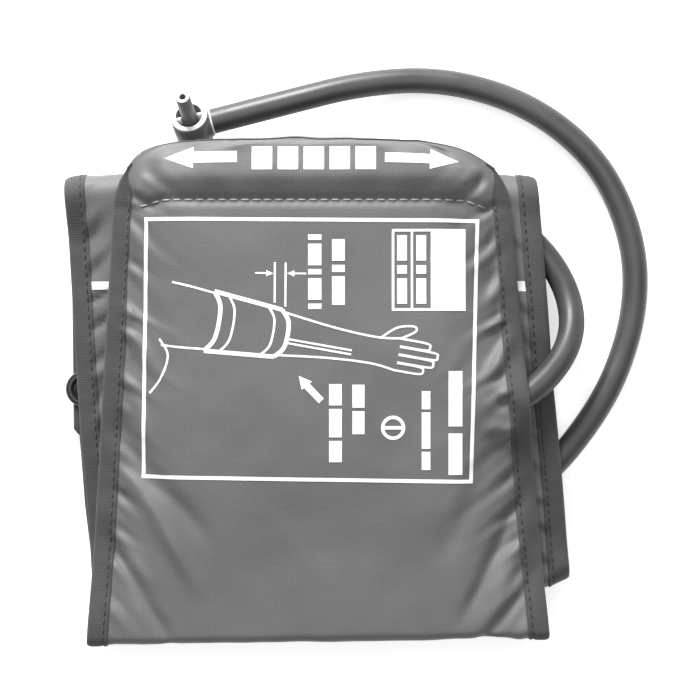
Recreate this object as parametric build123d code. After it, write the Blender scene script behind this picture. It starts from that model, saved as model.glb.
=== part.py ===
from build123d import *
import math
import os

# Large adult blood pressure cuff, folded flat for storage. Millimetres, +Z up, standing on z = 0.
# One strip of nylon is folded like a letter. From the table upwards it runs: base panel, top fold,
# inner panel (with the bladder and the hose port), end fold, short ring end with the D-ring, and,
# from the other end of the base panel, the fold wall and the tail flap that closes the pack.

# layers
FABRIC = 0.4            # coated nylon cover or lining
FILM = 0.5              # one sheet of the bladder
FELT = 1.0              # interlining, as thick as the two bladder sheets
TAPE = 0.5              # binding tape
SLAB = 2 * FABRIC + FELT
PANEL = SLAB + 2 * TAPE
TAPE_WIDTH = 6.8
EDGE_GAP = 0.4          # clearance between panels that lie on each other

# air hose, D-ring and plug
HOSE_R = 4.5
HOSE_BORE_R = 2.5
WIRE_R = 1.5
SLEEVE_CLEARANCE = 0.06
RING_LENGTH = 168.0
RING_WIDTH = 13.0
RING_X = -5.4
RING_BAR_Y = -3.6
PLUG_BODY_R = 6.7
PLUG_RECESS_R = 4.6
NOZZLE_R = 2.65
NOZZLE_FOOT_R = 2.9
NOZZLE_BORE_R = 1.1
NOZZLE_SEAT_R = 2.0
BARB_R = 2.45
BARB_BORE_R = 1.3
PLUG_TOP = 7.5          # heights along the plug's own axis, from the hose axis
PLUG_BOTTOM = -6.5
RECESS_FLOOR = 1.0
NOZZLE_SHOULDER = 7.7
NOZZLE_TIP = 19.5
HOSE_END = 7.3          # from the plug's axis to the cut end of the hose
BARB_DEPTH = 14.0

# heights of the stack
RING_END_Z = PANEL + EDGE_GAP
RING_Z = 5.3
HIDDEN_HOSE_Z = 12.7    # axis of the hose between the base and the inner panel
INNER_Z = HIDDEN_HOSE_Z + HOSE_R + 0.3
UPPER_HOSE_Z = INNER_Z + PANEL + 0.3 + HOSE_R
FLAP_Z = UPPER_HOSE_Z + HOSE_R + 0.8

# plan corners of the panels: bottom left, bottom right, top right, top left
FOLD_Y = -81.6
TOP_FOLD_Y = 69.5
TOP_EDGE_Y = 75.6
BASE = ((-77.0, FOLD_Y), (79.9, FOLD_Y), (77.5, TOP_FOLD_Y), (-87.4, TOP_FOLD_Y))
INNER = ((-77.4, -66.0), (88.4, -58.7), (77.9, TOP_FOLD_Y), (-87.4, TOP_FOLD_Y))
RING_END = ((-77.0, -65.3), (87.4, -58.1), (75.0, RING_BAR_Y), (-85.8, RING_BAR_Y))
FLAP = ((-77.3, FOLD_Y), (79.8, FOLD_Y), (66.6, 88.0), (-69.3, 88.0))
FLAP_SIDE_TOP = 70.0    # the turned hem of the rounded end starts here
FLAP_CORNER_R = 13.0
WALL_Y = -85.6          # outer face of the fold wall
FOLD_DEPTH = 6.1
FOLD_CORNER_R = 5.6

# the bladder runs from the base panel round the top fold into the inner panel
BLADDER_X = (-68.0, 68.0)
BLADDER_BASE_Y = -55.0
BLADDER_INNER_Y = -50.0

# hose port on the inner panel
PORT = (32.0, -10.6)
PORT_HEADING = 5.0
PORT_FLANGE_R = 7.2
PORT_STEM_R = 4.2
PORT_SPIGOT_R = 3.0
NIPPLE_DEPTH = 9.0
HOSE_START = 7.5

# plug, lying beside the cuff with its nozzle leaning up and away
PLUG = (-43.6, 94.5, 10.5)
PLUG_HEADING = 14.5     # direction of the hose as it leaves the plug, in plan
PLUG_LEAN = 26.0

# hose route from the port to the plug; the first and last runs are worked out from the fittings
HOSE_ROUTE = (
    (77.5, 1.4, UPPER_HOSE_Z + 0.9),
    (89.9, 18.0, 23.6),
    (89.6, 36.0, 14.5),
    (78.4, 53.4, HIDDEN_HOSE_Z - 0.1),
    (58.0, 67.0, HIDDEN_HOSE_Z),
    (34.0, 64.5, HIDDEN_HOSE_Z),
    (17.0, 50.0, HIDDEN_HOSE_Z),
    (11.5, 28.0, HIDDEN_HOSE_Z),
    (12.5, -8.0, HIDDEN_HOSE_Z),
    (27.0, -32.0, HIDDEN_HOSE_Z),
    (53.0, -41.0, HIDDEN_HOSE_Z),
    (78.5, -32.8, HIDDEN_HOSE_Z),
    (101.5, -5.0, 9.4),
    (112.0, 19.5, 5.4),
    (114.9, 42.0, 4.7),
    (111.0, 62.5, 4.7),
    (101.5, 81.5, 4.7),
    (86.0, 96.5, 4.7),
    (66.5, 106.8, 4.7),
    (42.0, 112.3, 4.8),
    (16.0, 110.2, 7.4),
)


def slab(corners, low, high):
    """A flat layer with the given plan corners."""
    return Pos(0, 0, low) * extrude(make_face(Polyline(*corners, close=True)), amount=high - low)


def inset(corners, distance):
    """The plan corners with the two long edges moved in."""
    a, b, c, d = (Vector(*corner) for corner in corners)
    low, high = (b - a) * (distance / (b.X - a.X)), (c - d) * (distance / (c.X - d.X))
    return [(point.X, point.Y) for point in (a + low, b - low, c - high, d + high)]


def side_binding(corners, left, low):
    """Tape folded round one long edge of a panel, open towards the panel."""
    a, b, c, d = corners
    a_in, b_in, c_in, d_in = inset(corners, TAPE_WIDTH)
    strip = (a, a_in, d_in, d) if left else (b_in, b, c, c_in)
    core = slab(inset(corners, TAPE), low + TAPE, low + TAPE + SLAB)
    return slab(strip, low, low + PANEL) - core


def u_layer(x_span, y_ends, y_out, z_span, depth, thickness):
    """One layer of a fold: two legs joined by a wall, with rounded corners.

    depth is how far the layer lies inside the fold's outer surface.
    """
    towards = math.copysign(1.0, y_out - y_ends[0])
    radius = FOLD_CORNER_R - depth

    def line(inside, corner):
        y = y_out - towards * (depth + inside)
        low, high = z_span[0] + depth + inside, z_span[1] - depth - inside
        return FilletPolyline((y_ends[0], low), (y, low), (y, high), (y_ends[1], high), radius=corner)

    outer, inner = line(0.0, radius), line(thickness, radius - thickness)
    ends = [Line(outer @ end, inner @ end) for end in (0, 1)]
    face = Plane.YZ * make_face([*outer.edges(), *inner.edges(), *ends])
    return Pos(x_span[0], 0, 0) * extrude(face, amount=x_span[1] - x_span[0])


def fold_bindings(x_span, y_plate, y_out, z_span):
    """The two tapes that follow a fold round its ends."""
    ends = (y_plate, y_plate)
    core = u_layer((x_span[0] + TAPE, x_span[1] - TAPE), ends, y_out, z_span, TAPE, SLAB)
    left = u_layer((x_span[0], x_span[0] + TAPE_WIDTH), ends, y_out, z_span, 0.0, PANEL)
    right = u_layer((x_span[1] - TAPE_WIDTH, x_span[1]), ends, y_out, z_span, 0.0, PANEL)
    return [left - core, right - core]


def base_panel():
    """Outer cover with the loop pile sewn on it, lining and side tapes; the base lies on the table."""
    sheet = inset(BASE, TAPE)
    pile = ((-66.0, -72.0), (66.0, -72.0), (66.0, 60.0), (-66.0, 60.0))
    return {
        "loop_pile_patch": slab(pile, 0.0, TAPE),
        "base_cover": slab(sheet, TAPE, TAPE + FABRIC),
        "base_lining": slab(sheet, TAPE + SLAB - FABRIC, TAPE + SLAB),
        "base_binding_left": side_binding(BASE, True, 0.0),
        "base_binding_right": side_binding(BASE, False, 0.0),
    }


def top_fold():
    """The strip turns up from the base into the inner panel."""
    x_span = (BASE[3][0], BASE[2][0])
    sheet_x = (x_span[0] + TAPE, x_span[1] - TAPE)
    ends = (TOP_FOLD_Y, TOP_FOLD_Y)
    z_span = (0.0, INNER_Z + PANEL)
    lining_depth = TAPE + SLAB - FABRIC
    return {
        "top_fold_cover": u_layer(sheet_x, ends, TOP_EDGE_Y, z_span, TAPE, FABRIC),
        "top_fold_lining": u_layer(sheet_x, ends, TOP_EDGE_Y, z_span, lining_depth, FABRIC),
        "top_fold_bindings": Compound(children=fold_bindings(x_span, TOP_FOLD_Y, TOP_EDGE_Y, z_span)),
    }


def bladder():
    """Two welded sheets, lying in the base, round the top fold and in the inner panel."""
    ends = (BLADDER_BASE_Y, BLADDER_INNER_Y)
    z_span = (0.0, INNER_Z + PANEL)
    outer = u_layer(BLADDER_X, ends, TOP_EDGE_Y, z_span, TAPE + FABRIC, FILM)
    inner = u_layer(BLADDER_X, ends, TOP_EDGE_Y, z_span, TAPE + FABRIC + FILM, FILM)
    return {"bladder_outer_sheet": outer - port_hole(), "bladder_inner_sheet": inner}


def port_hole():
    return Pos(*PORT, INNER_Z + PANEL) * Cylinder(PORT_SPIGOT_R, PANEL + 1.0)


def inner_panel():
    """Cover on top, lining below, tapes down both sides."""
    sheet = inset(INNER, TAPE)
    top = INNER_Z + TAPE + SLAB
    return {
        "inner_cover": slab(sheet, top - FABRIC, top) - port_hole(),
        "inner_lining": slab(sheet, INNER_Z + TAPE, INNER_Z + TAPE + FABRIC),
        "inner_binding_left": side_binding(INNER, True, INNER_Z),
        "inner_binding_right": side_binding(INNER, False, INNER_Z),
    }


def end_fold():
    """The inner panel's far end turns down into the ring end, along a slightly slanting line."""
    (x0, y0), (x1, y1) = INNER[0], INNER[1]
    length = math.hypot(x1 - x0, y1 - y0)
    slant = math.degrees(math.atan2(y1 - y0, x1 - x0))
    place = Pos(x0, y0, 0) * Rot(0, 0, slant)
    z_span = (RING_END_Z, INNER_Z + PANEL)
    band = u_layer((TAPE, length - TAPE), (0.0, 0.0), -FOLD_DEPTH, z_span, TAPE, SLAB)
    tapes = fold_bindings((0.0, length), 0.0, -FOLD_DEPTH, z_span)
    return {
        "end_fold_band": place * band,
        "end_fold_bindings": Compound(children=[place * tape for tape in tapes]),
    }


def ring_end():
    """Short end of the strip, sewn round the bar of the D-ring."""
    sleeve_r = WIRE_R + SLEEVE_CLEARANCE + TAPE
    bar = RING_LENGTH - RING_WIDTH - 1.0
    along = Pos(RING_X, RING_BAR_Y, RING_Z) * Rot(0, 90, 0)
    gap = along * Cylinder(sleeve_r + 0.05, RING_LENGTH + 40.0)
    panel = slab(inset(RING_END, TAPE), RING_END_Z + TAPE, RING_END_Z + TAPE + SLAB) - gap
    tapes = [side_binding(RING_END, left, RING_END_Z) - gap for left in (True, False)]
    sleeve = Cylinder(sleeve_r, bar) - Cylinder(WIRE_R + SLEEVE_CLEARANCE, bar)
    return {
        "ring_end_panel": panel,
        "ring_end_bindings": Compound(children=tapes),
        "ring_sleeve": along * sleeve,
    }


def d_ring():
    """Long closed ring of round wire."""
    radius = (RING_WIDTH - 2 * WIRE_R) / 2
    straight = RING_LENGTH - RING_WIDTH
    bar = Rot(0, 90, 0) * Cylinder(WIRE_R, straight)
    bend = revolve(Plane.XZ * (Pos(radius, 0) * Circle(WIRE_R)), Axis.Z, 180)
    ring = Pos(0, radius, 0) * bar + Pos(0, -radius, 0) * bar
    ring += Pos(-straight / 2, 0, 0) * Rot(0, 0, 90) * bend
    ring += Pos(straight / 2, 0, 0) * Rot(0, 0, -90) * bend
    return {"d_ring": Pos(RING_X, RING_BAR_Y + radius, RING_Z) * ring}


def fold_wall():
    """The strip stands up here, between its two creases, from the base to the tail flap."""
    low, high = PANEL + EDGE_GAP, FLAP_Z - EDGE_GAP
    left, right = BASE[0][0], BASE[1][0]

    def layer(depth, thickness, margin):
        box = Box(right - left - 2 * margin, thickness, high - low, align=(Align.MIN, Align.MIN, Align.MIN))
        return Pos(left + margin, WALL_Y + depth, low) * box

    core = layer(TAPE, SLAB, TAPE)
    tape = Box(TAPE_WIDTH, PANEL, high - low, align=(Align.MIN, Align.MIN, Align.MIN))
    tapes = [Pos(x, WALL_Y, low) * tape - core for x in (left, right - TAPE_WIDTH)]
    return {
        "wall_cover": layer(TAPE, FABRIC, TAPE),
        "wall_padding": layer(TAPE + FABRIC, FELT, TAPE),
        "wall_lining": layer(TAPE + FABRIC + FELT, FABRIC, TAPE),
        "wall_bindings": Compound(children=tapes),
    }


def flap_sheet(distance, low, high, y_low=FOLD_Y, y_high=200.0):
    """A layer of the tail flap, with its rounded end, moved in from the outline by distance."""
    (ax, ay), (bx, by), (cx, cy), (dx, dy) = inset(FLAP, distance)
    face = make_face(Polyline((ax, ay), (bx, by), (cx, cy - distance), (dx, dy - distance), close=True))
    face = fillet(face.vertices().group_by(Axis.Y)[-1], FLAP_CORNER_R - distance)
    window = Pos(0, (y_low + y_high) / 2) * Rectangle(400.0, y_high - y_low)
    return Pos(0, 0, low) * extrude(face & window, amount=high - low)


def flap():
    """Cover, felt, lining, side tapes, the turned hem with its stiffener, and the hook patch below."""
    low, top = FLAP_Z + TAPE, FLAP_Z + TAPE + SLAB
    hem_low, hem_high = FLAP_SIDE_TOP + 1.0, FLAP[2][1] - 4.0
    hook = ((-56.0, 20.0), (54.0, 20.0), (54.0, 62.0), (-56.0, 62.0))
    stiffener = ((-58.0, hem_low), (56.0, hem_low), (56.0, hem_high), (-58.0, hem_high))
    hem = flap_sheet(0.0, FLAP_Z, FLAP_Z + PANEL, FLAP_SIDE_TOP)
    hem -= flap_sheet(TAPE_WIDTH, FLAP_Z, FLAP_Z + PANEL, FLAP_SIDE_TOP)
    hem -= flap_sheet(TAPE, low, top, FLAP_SIDE_TOP)
    side_cut = slab(((-99.0, -99.0), (99.0, -99.0), (99.0, FLAP_SIDE_TOP), (-99.0, FLAP_SIDE_TOP)),
                    FLAP_Z, FLAP_Z + PANEL)
    return {
        "flap_cover": flap_sheet(TAPE, top - FABRIC, top),
        "flap_padding": flap_sheet(TAPE, low + FABRIC, top - FABRIC, y_high=FLAP_SIDE_TOP),
        "flap_lining": flap_sheet(TAPE, low, low + FABRIC),
        "flap_binding_left": side_binding(FLAP, True, FLAP_Z) & side_cut,
        "flap_binding_right": side_binding(FLAP, False, FLAP_Z) & side_cut,
        "flap_end_hem": hem,
        "hem_stiffener": slab(stiffener, low + FABRIC, top - FABRIC),
        "hook_patch": slab(hook, FLAP_Z, low),
    }


def port_direction():
    angle = math.radians(PORT_HEADING)
    return Vector(math.cos(angle), math.sin(angle), 0)


def port():
    """Rubber flange on the inner panel's cover and the elbow that the hose is pushed on."""
    cover_top = INNER_Z + TAPE + SLAB
    flange_top = cover_top + 1.0
    centre = Pos(*PORT, UPPER_HOSE_Z) * Rot(0, 0, PORT_HEADING)
    up = (Align.CENTER, Align.CENTER, Align.MIN)
    flange = Pos(*PORT, cover_top) * Cylinder(PORT_FLANGE_R, 1.0, align=up)
    spigot_low = cover_top - FABRIC - FILM
    flange += Pos(*PORT, spigot_low) * Cylinder(PORT_SPIGOT_R, cover_top - spigot_low, align=up)
    flange -= Pos(*PORT, spigot_low) * Cylinder(BARB_BORE_R, flange_top - spigot_low, align=up)
    stem = Pos(*PORT, flange_top) * Cylinder(PORT_STEM_R, UPPER_HOSE_Z - flange_top, align=up)
    elbow = stem + centre * Sphere(PORT_STEM_R)
    elbow += centre * Rot(0, 90, 0) * Cylinder(PORT_STEM_R, HOSE_START, align=up)
    elbow += centre * Rot(0, 90, 0) * Cylinder(HOSE_BORE_R, HOSE_START + NIPPLE_DEPTH, align=up)
    elbow -= centre * Rot(0, 90, 0) * Cylinder(BARB_BORE_R, HOSE_START + NIPPLE_DEPTH, align=up)
    elbow -= Pos(*PORT, flange_top) * Cylinder(BARB_BORE_R, UPPER_HOSE_Z - flange_top, align=up)
    return {"port_flange": flange, "port_elbow": elbow}


def plug_frame():
    """Plug frame: X along the hose, Z along the nozzle."""
    return Pos(*PLUG) * Rot(0, 0, PLUG_HEADING) * Rot(-PLUG_LEAN, 0, 0)


def plug():
    """Elbow plug: a skirted body, the nozzle for the monitor, the hose barb and a cap below."""
    up = (Align.CENTER, Align.CENTER, Align.MIN)
    frame = plug_frame()
    side = Rot(0, 90, 0)
    body = Pos(0, 0, PLUG_BOTTOM) * Cylinder(PLUG_BODY_R, PLUG_TOP - PLUG_BOTTOM, align=up)
    body += side * Cylinder(5.2, HOSE_END - 0.3, align=up)
    body -= Pos(0, 0, RECESS_FLOOR) * Cylinder(PLUG_RECESS_R, PLUG_TOP - RECESS_FLOOR, align=up)
    rib = Box(PLUG_RECESS_R - NOZZLE_FOOT_R + 0.1, 0.7, PLUG_TOP - RECESS_FLOOR - 0.6, align=up)
    for turn in (0, 180):
        rib_x = (PLUG_RECESS_R + NOZZLE_FOOT_R) / 2 + 0.15
        body += Rot(0, 0, turn) * Pos(rib_x, 0, RECESS_FLOOR) * rib
    seat_low = -2.5
    body -= Pos(0, 0, seat_low) * Cylinder(NOZZLE_SEAT_R, RECESS_FLOOR - seat_low, align=up)
    body -= side * Pos(0, 0, 3.0) * Cylinder(BARB_R, HOSE_END, align=up)
    cap = Pos(0, 0, PLUG_BOTTOM) * Cylinder(PLUG_BODY_R - 1.4, 1.2, align=up)
    nozzle = Pos(0, 0, RECESS_FLOOR) * Cylinder(NOZZLE_R, NOZZLE_TIP - RECESS_FLOOR, align=up)
    nozzle += Pos(0, 0, RECESS_FLOOR) * Cylinder(NOZZLE_FOOT_R, NOZZLE_SHOULDER - RECESS_FLOOR, align=up)
    nozzle += Pos(0, 0, seat_low) * Cylinder(NOZZLE_SEAT_R, RECESS_FLOOR - seat_low, align=up)
    nozzle -= Pos(0, 0, seat_low) * Cylinder(NOZZLE_BORE_R, NOZZLE_TIP - seat_low, align=up)
    barb_low, barb_high = 3.0, HOSE_END + BARB_DEPTH
    barb = Cylinder(BARB_R, barb_high - barb_low, align=up)
    barb -= Cylinder(BARB_BORE_R, barb_high - barb_low, align=up)
    return {
        "plug_body": frame * (body - cap),
        "plug_end_cap": frame * cap,
        "plug_nozzle": frame * nozzle,
        "plug_barb": frame * side * Pos(0, 0, barb_low) * barb,
    }


def hose_route():
    """Route points from the port to the plug, with the straight runs at both fittings."""
    start = Vector(*PORT, UPPER_HOSE_Z)
    out = port_direction()
    angle = math.radians(PLUG_HEADING)
    plug_out = Vector(math.cos(angle), math.sin(angle), 0)
    first = [start + out * HOSE_START, start + out * (HOSE_START + 20.0)]
    last = [Vector(*PLUG) + plug_out * (HOSE_END + 27.0), Vector(*PLUG) + plug_out * HOSE_END]
    return first + [Vector(*point) for point in HOSE_ROUTE] + last


def bend_radii(points):
    """Each arc is as large as its two runs allow."""
    radii = []
    for before, here, after in zip(points, points[1:], points[2:]):
        arriving, leaving = here - before, after - here
        half_turn = math.radians(arriving.get_angle(leaving)) / 2
        radii.append(0.45 * min(arriving.length, leaving.length) / math.tan(half_turn))
    return radii


def air_hose():
    """Free hose, bored at both ends for the fittings."""
    points = hose_route()
    path = FilletPolyline(*points, radius=bend_radii(points))
    tube = sweep(Plane(origin=path @ 0, z_dir=path % 0) * Circle(HOSE_R), path=path)
    up = (Align.CENTER, Align.CENTER, Align.MIN)
    near = Plane(origin=points[0], z_dir=points[1] - points[0])
    far = Plane(origin=points[-1], z_dir=points[-2] - points[-1])
    tube -= near * Cylinder(HOSE_BORE_R, NIPPLE_DEPTH + 0.3, align=up)
    tube -= far * Cylinder(HOSE_BORE_R, BARB_DEPTH + 0.3, align=up)
    print(f"hose length {path.length:.1f} mm, radii {[round(r) for r in bend_radii(points)]}")
    return {"air_hose": tube}


def build():
    os.makedirs("parts", exist_ok=True)
    groups = (base_panel, top_fold, bladder, inner_panel, end_fold, ring_end, d_ring,
              fold_wall, flap, port, plug, air_hose)
    for group in groups:
        for node, solid in group().items():
            export_step(solid, f"parts/{node}.step")


build()
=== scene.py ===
import math
import bmesh
import bpy
from mathutils import Matrix, Vector, noise
from mathutils.bvhtree import BVHTree


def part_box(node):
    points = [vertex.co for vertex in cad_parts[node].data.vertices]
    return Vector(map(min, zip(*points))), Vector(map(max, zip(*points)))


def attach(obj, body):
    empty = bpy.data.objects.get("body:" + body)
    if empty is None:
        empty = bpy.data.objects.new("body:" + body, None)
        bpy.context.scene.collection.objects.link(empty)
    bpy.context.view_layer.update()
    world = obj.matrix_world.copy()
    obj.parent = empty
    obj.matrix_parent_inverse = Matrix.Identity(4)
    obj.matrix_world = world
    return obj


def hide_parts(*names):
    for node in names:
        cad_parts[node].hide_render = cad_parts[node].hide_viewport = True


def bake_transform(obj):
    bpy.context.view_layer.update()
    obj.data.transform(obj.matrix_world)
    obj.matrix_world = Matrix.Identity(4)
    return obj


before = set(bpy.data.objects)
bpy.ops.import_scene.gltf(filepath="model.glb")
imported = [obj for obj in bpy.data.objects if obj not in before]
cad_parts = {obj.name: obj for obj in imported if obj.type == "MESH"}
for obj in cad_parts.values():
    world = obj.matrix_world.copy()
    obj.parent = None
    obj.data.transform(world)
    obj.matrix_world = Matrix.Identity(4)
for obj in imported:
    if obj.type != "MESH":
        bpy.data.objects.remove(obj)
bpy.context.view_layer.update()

# Folded blood pressure cuff. Lengths are in millimetres until a mesh is made, then in metres.
MM = 0.001


def high(node, axis):
    """Upper face of a CAD node along an axis, in millimetres."""
    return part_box(node)[1][axis] / MM


def low(node, axis):
    """Lower face of a CAD node along an axis, in millimetres."""
    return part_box(node)[0][axis] / MM


# driving sizes: these from the frame
FLAP_TOP = high("flap_cover", 2)
FLAP_TIP = high("flap_cover", 1) + 0.3
INNER_TOP = high("inner_cover", 2) + 0.3
TOP_EDGE = high("top_fold_bindings", 1)
WALL_OUT = low("wall_bindings", 1)
RING_END_LOW = low("ring_end_bindings", 2)
MID_WALL = (low("wall_cover", 2) + high("wall_cover", 2)) / 2

# and these given
RING_BAR = Vector((-5.4, -3.6, 5.3))
SLEEVE_R = 2.35
HOSE_R = 4.5
END_FOLD_Y = -72.0
THICK = 2.3             # middle of a panel
THIN = 1.5              # where the tape grips it
HEM_LINE = 67.0         # stitches that close the hem of the flap
HEM_ROUND = 2.6
STITCH_PITCH = 3.0
STITCH_LENGTH = 2.5
TAPE_THREAD_R = 0.3
HEM_PITCH = 3.9
HEM_STITCH_LENGTH = 2.9
GATHER_PITCH = 11.5
FLAP_TAPE_END = 80.0    # the side tapes of the flap stop here
HOOK_X, HOOK_Y = (-56.0, 54.0), (20.0, 62.0)
LOOP_X, LOOP_Y = (-66.0, 66.0), (-66.0, 60.0)

# plan edges as (y, left x, right x), read between as straight lines
FLAP_EDGES = ((-84.0, -77.9, 80.4), (60.0, -70.0, 68.2), (66.8, -69.6, 67.6), (70.6, -68.7, 66.7),
              (74.4, -67.3, 64.9), (78.0, -65.2, 62.5), (81.3, -62.6, 57.8), (83.5, -59.8, 54.2),
              (85.0, -56.6, 50.6), (86.2, -52.0, 46.6), (87.1, -46.6, 41.6), (87.8, -40.0, 36.0))
BASE_EDGES = ((-84.0, -77.2, 80.0), (-40.0, -82.6, 79.2), (-14.2, -84.6, 78.8), (-13.2, -86.6, 78.8),
              (15.0, -86.9, 78.3), (69.5, -87.6, 77.5), (76.0, -87.6, 77.4))
INNER_EDGES = ((END_FOLD_Y, -77.0, 88.9), (-40.0, -80.0, 86.5), (-16.0, -82.2, 84.7), (15.0, -84.1, 82.2),
               (69.5, -87.4, 77.9), (76.0, -87.8, 77.4))
RING_END_EDGES = ((END_FOLD_Y, -77.0, 88.9), (-64.0, -77.2, 87.4), (-13.8, -84.0, 77.0),
                  (-13.0, -86.2, 75.5), (-3.6, -86.2, 75.0))


# -------- camera and light
def add_object(name, data):
    """A new object in the scene."""
    made = bpy.data.objects.new(name, data)
    bpy.context.scene.collection.objects.link(made)
    return made


def add_camera():
    data = bpy.data.cameras.new("camera")
    data.lens, data.sensor_width = 100.0, 36.0
    camera = add_object("camera", data)
    camera.location = (0.0122, 0.0153, 0.7)
    bpy.context.scene.camera = camera


def add_light(name, place, aim, size, power):
    data = bpy.data.lights.new(name, "AREA")
    data.size, data.energy = size, power
    lamp = add_object(name, data)
    lamp.location = place
    lamp.rotation_euler = (Vector(aim) - Vector(place)).to_track_quat("-Z", "Y").to_euler()


def add_studio():
    """A key light from behind, a soft top light, an even sky and a white floor."""
    add_light("key", (-0.18, 0.80, 0.42), (0, 0, 0), 0.35, 16.0)
    add_light("top", (0.1, 0.1, 1.1), (0, 0, 0), 0.9, 4.0)
    world = bpy.data.worlds.new("world")
    world.use_nodes = True
    world.node_tree.nodes["Background"].inputs[0].default_value = (1, 1, 1, 1)
    world.node_tree.nodes["Background"].inputs[1].default_value = 0.38
    bpy.context.scene.world = world
    bpy.context.scene.view_settings.view_transform = "Standard"
    mesh = bpy.data.meshes.new("floor")
    mesh.from_pydata([(-3, -3, 0), (3, -3, 0), (3, 3, 0), (-3, 3, 0)], [], [(0, 1, 2, 3)])
    mesh.materials.append(floor_material())
    floor = add_object("floor", mesh)


# -------- materials
class Shader:
    """A node material, with short calls for the patterns that the cuff's materials share."""

    def __init__(self, name, roughness, **sockets):
        self.material = bpy.data.materials.new(name)
        self.material.use_nodes = True
        self.nodes = self.material.node_tree.nodes
        self.links = self.material.node_tree.links
        self.surface = self.nodes["Principled BSDF"]
        self.surface.inputs["Roughness"].default_value = roughness
        for socket, value in sockets.items():
            self.surface.inputs[socket.replace("_", " ")].default_value = value
        self.coordinates = self.nodes.new("ShaderNodeTexCoord")

    def node(self, kind, links=(), **values):
        made = self.nodes.new(kind)
        for key, value in values.items():
            if hasattr(made, key):
                setattr(made, key, value)
            else:
                made.inputs[key.replace("_", " ")].default_value = value
        for socket, source in links:
            self.links.new(source, made.inputs[socket])
        return made

    def noise(self, size, detail=2.0, space="UV"):
        """Noise whose blobs are about size millimetres across."""
        links = [("Vector", self.coordinates.outputs[space])]
        return self.node("ShaderNodeTexNoise", links, Scale=1 / (size * MM), Detail=detail).outputs["Fac"]

    def bands(self, pitch, axis, wobble=0.0, space="UV"):
        """Sine bands across an axis, one every pitch millimetres."""
        scale = 2 * math.pi / (20 * pitch * MM)
        links = [("Vector", self.coordinates.outputs[space])]
        return self.node("ShaderNodeTexWave", links, bands_direction=axis, Scale=scale,
                         Distortion=wobble, Detail=1.0).outputs["Fac"]

    def math(self, operation, a, b):
        made = self.nodes.new("ShaderNodeMath")
        made.operation = operation
        for socket, value in zip(made.inputs, (a, b)):
            if isinstance(value, float):
                socket.default_value = value
            else:
                self.links.new(value, socket)
        return made.outputs[0]

    def ramp(self, fac, dark, light, start=0.3, end=0.7):
        """Greys from dark to light while fac goes from start to end."""
        made = self.node("ShaderNodeValToRGB", [("Fac", fac)])
        for stop, place, level in zip(made.color_ramp.elements, (start, end), (dark, light)):
            stop.position = place
            stop.color = (level, level, level, 1)
        return made.outputs["Color"]

    def multiply(self, a, b):
        made = self.nodes.new("ShaderNodeMix")
        made.data_type, made.blend_type = "RGBA", "MULTIPLY"
        made.inputs["Factor"].default_value = 1.0
        self.links.new(a, made.inputs[6])
        self.links.new(b, made.inputs[7])
        return made.outputs[2]

    def colour(self, source):
        self.links.new(source, self.surface.inputs["Base Color"])

    def roughness(self, source):
        self.links.new(source, self.surface.inputs["Roughness"])

    def bump(self, height, strength, depth):
        made = self.node("ShaderNodeBump", [("Height", height)], Strength=strength, Distance=depth * MM)
        self.links.new(made.outputs["Normal"], self.surface.inputs["Normal"])


def nylon(name, level, rough=0.55, sheen=0.35):
    """Plain weave with a soft sheen, slightly uneven threads and faint rubbing."""
    shader = Shader(name, rough, Sheen_Weight=sheen, Sheen_Roughness=0.4)
    weave = shader.math("MULTIPLY", shader.bands(0.62, "X", 0.6), shader.bands(0.62, "Y", 0.6))
    threads = shader.ramp(weave, 0.90, 1.0, 0.0, 1.0)
    patches = shader.ramp(shader.noise(28.0, 3.0), level * 0.90, level * 1.08)
    flecks = shader.ramp(shader.noise(0.7, 3.0), 0.86, 1.0)
    shader.colour(shader.multiply(shader.multiply(patches, threads), flecks))
    shader.bump(shader.math("ADD", weave, shader.noise(2.2, 3.0)), 0.35, 0.12)
    return shader.material


def grosgrain(name, level):
    """Ribs across the tape, darker between them, and a little fuzz."""
    shader = Shader(name, 0.8, Sheen_Weight=0.15, Sheen_Roughness=0.5)
    ribs = shader.bands(0.6, "X", 0.4)
    shade = shader.ramp(ribs, 0.84, 1.0, 0.0, 1.0)
    wear = shader.ramp(shader.noise(9.0, 3.0), level * 0.88, level * 1.1)
    shader.colour(shader.multiply(wear, shade))
    shader.bump(shader.math("ADD", ribs, shader.noise(0.5, 2.0)), 0.4, 0.14)
    return shader.material


def thread(name, level):
    shader = Shader(name, 0.6, Sheen_Weight=0.2)
    twist = shader.bands(0.5, "DIAGONAL", 0.5, "Object")
    shader.colour(shader.ramp(twist, level * 0.7, level))
    shader.bump(twist, 0.4, 0.1)
    return shader.material


def ink(name):
    """White print that lets a little of the weave through."""
    shader = Shader(name, 0.6)
    weave = shader.math("MULTIPLY", *(shader.bands(0.62, axis, 0.5, "Object") for axis in "XY"))
    shader.colour(shader.ramp(weave, 0.86, 0.96, 0.0, 1.0))
    shader.bump(weave, 0.15, 0.08)
    return shader.material


def rubber(name, level, rough):
    """Extruded rubber: bloom in soft patches, in colour and in gloss, and a faint grain in the bump."""
    shader = Shader(name, rough, Coat_Weight=0.05, Coat_Roughness=0.35)
    bloom = shader.noise(14.0, 3.0, "Object")
    shader.colour(shader.ramp(bloom, level * 0.85, level * 1.18))
    shader.roughness(shader.ramp(bloom, rough * 0.85, rough * 1.2))
    shader.bump(shader.noise(0.9, 2.0, "Object"), 0.12, 0.1)
    return shader.material


def moulded(name, level, rough):
    """Moulded plastic with a fine spark-eroded grain and faint handling marks."""
    shader = Shader(name, rough, Coat_Weight=0.1, Coat_Roughness=0.3)
    marks = shader.noise(5.0, 4.0, "Object")
    shader.colour(shader.ramp(marks, level * 0.88, level * 1.1))
    shader.bump(shader.noise(0.25, 2.0, "Object"), 0.18, 0.05)
    return shader.material


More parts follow.
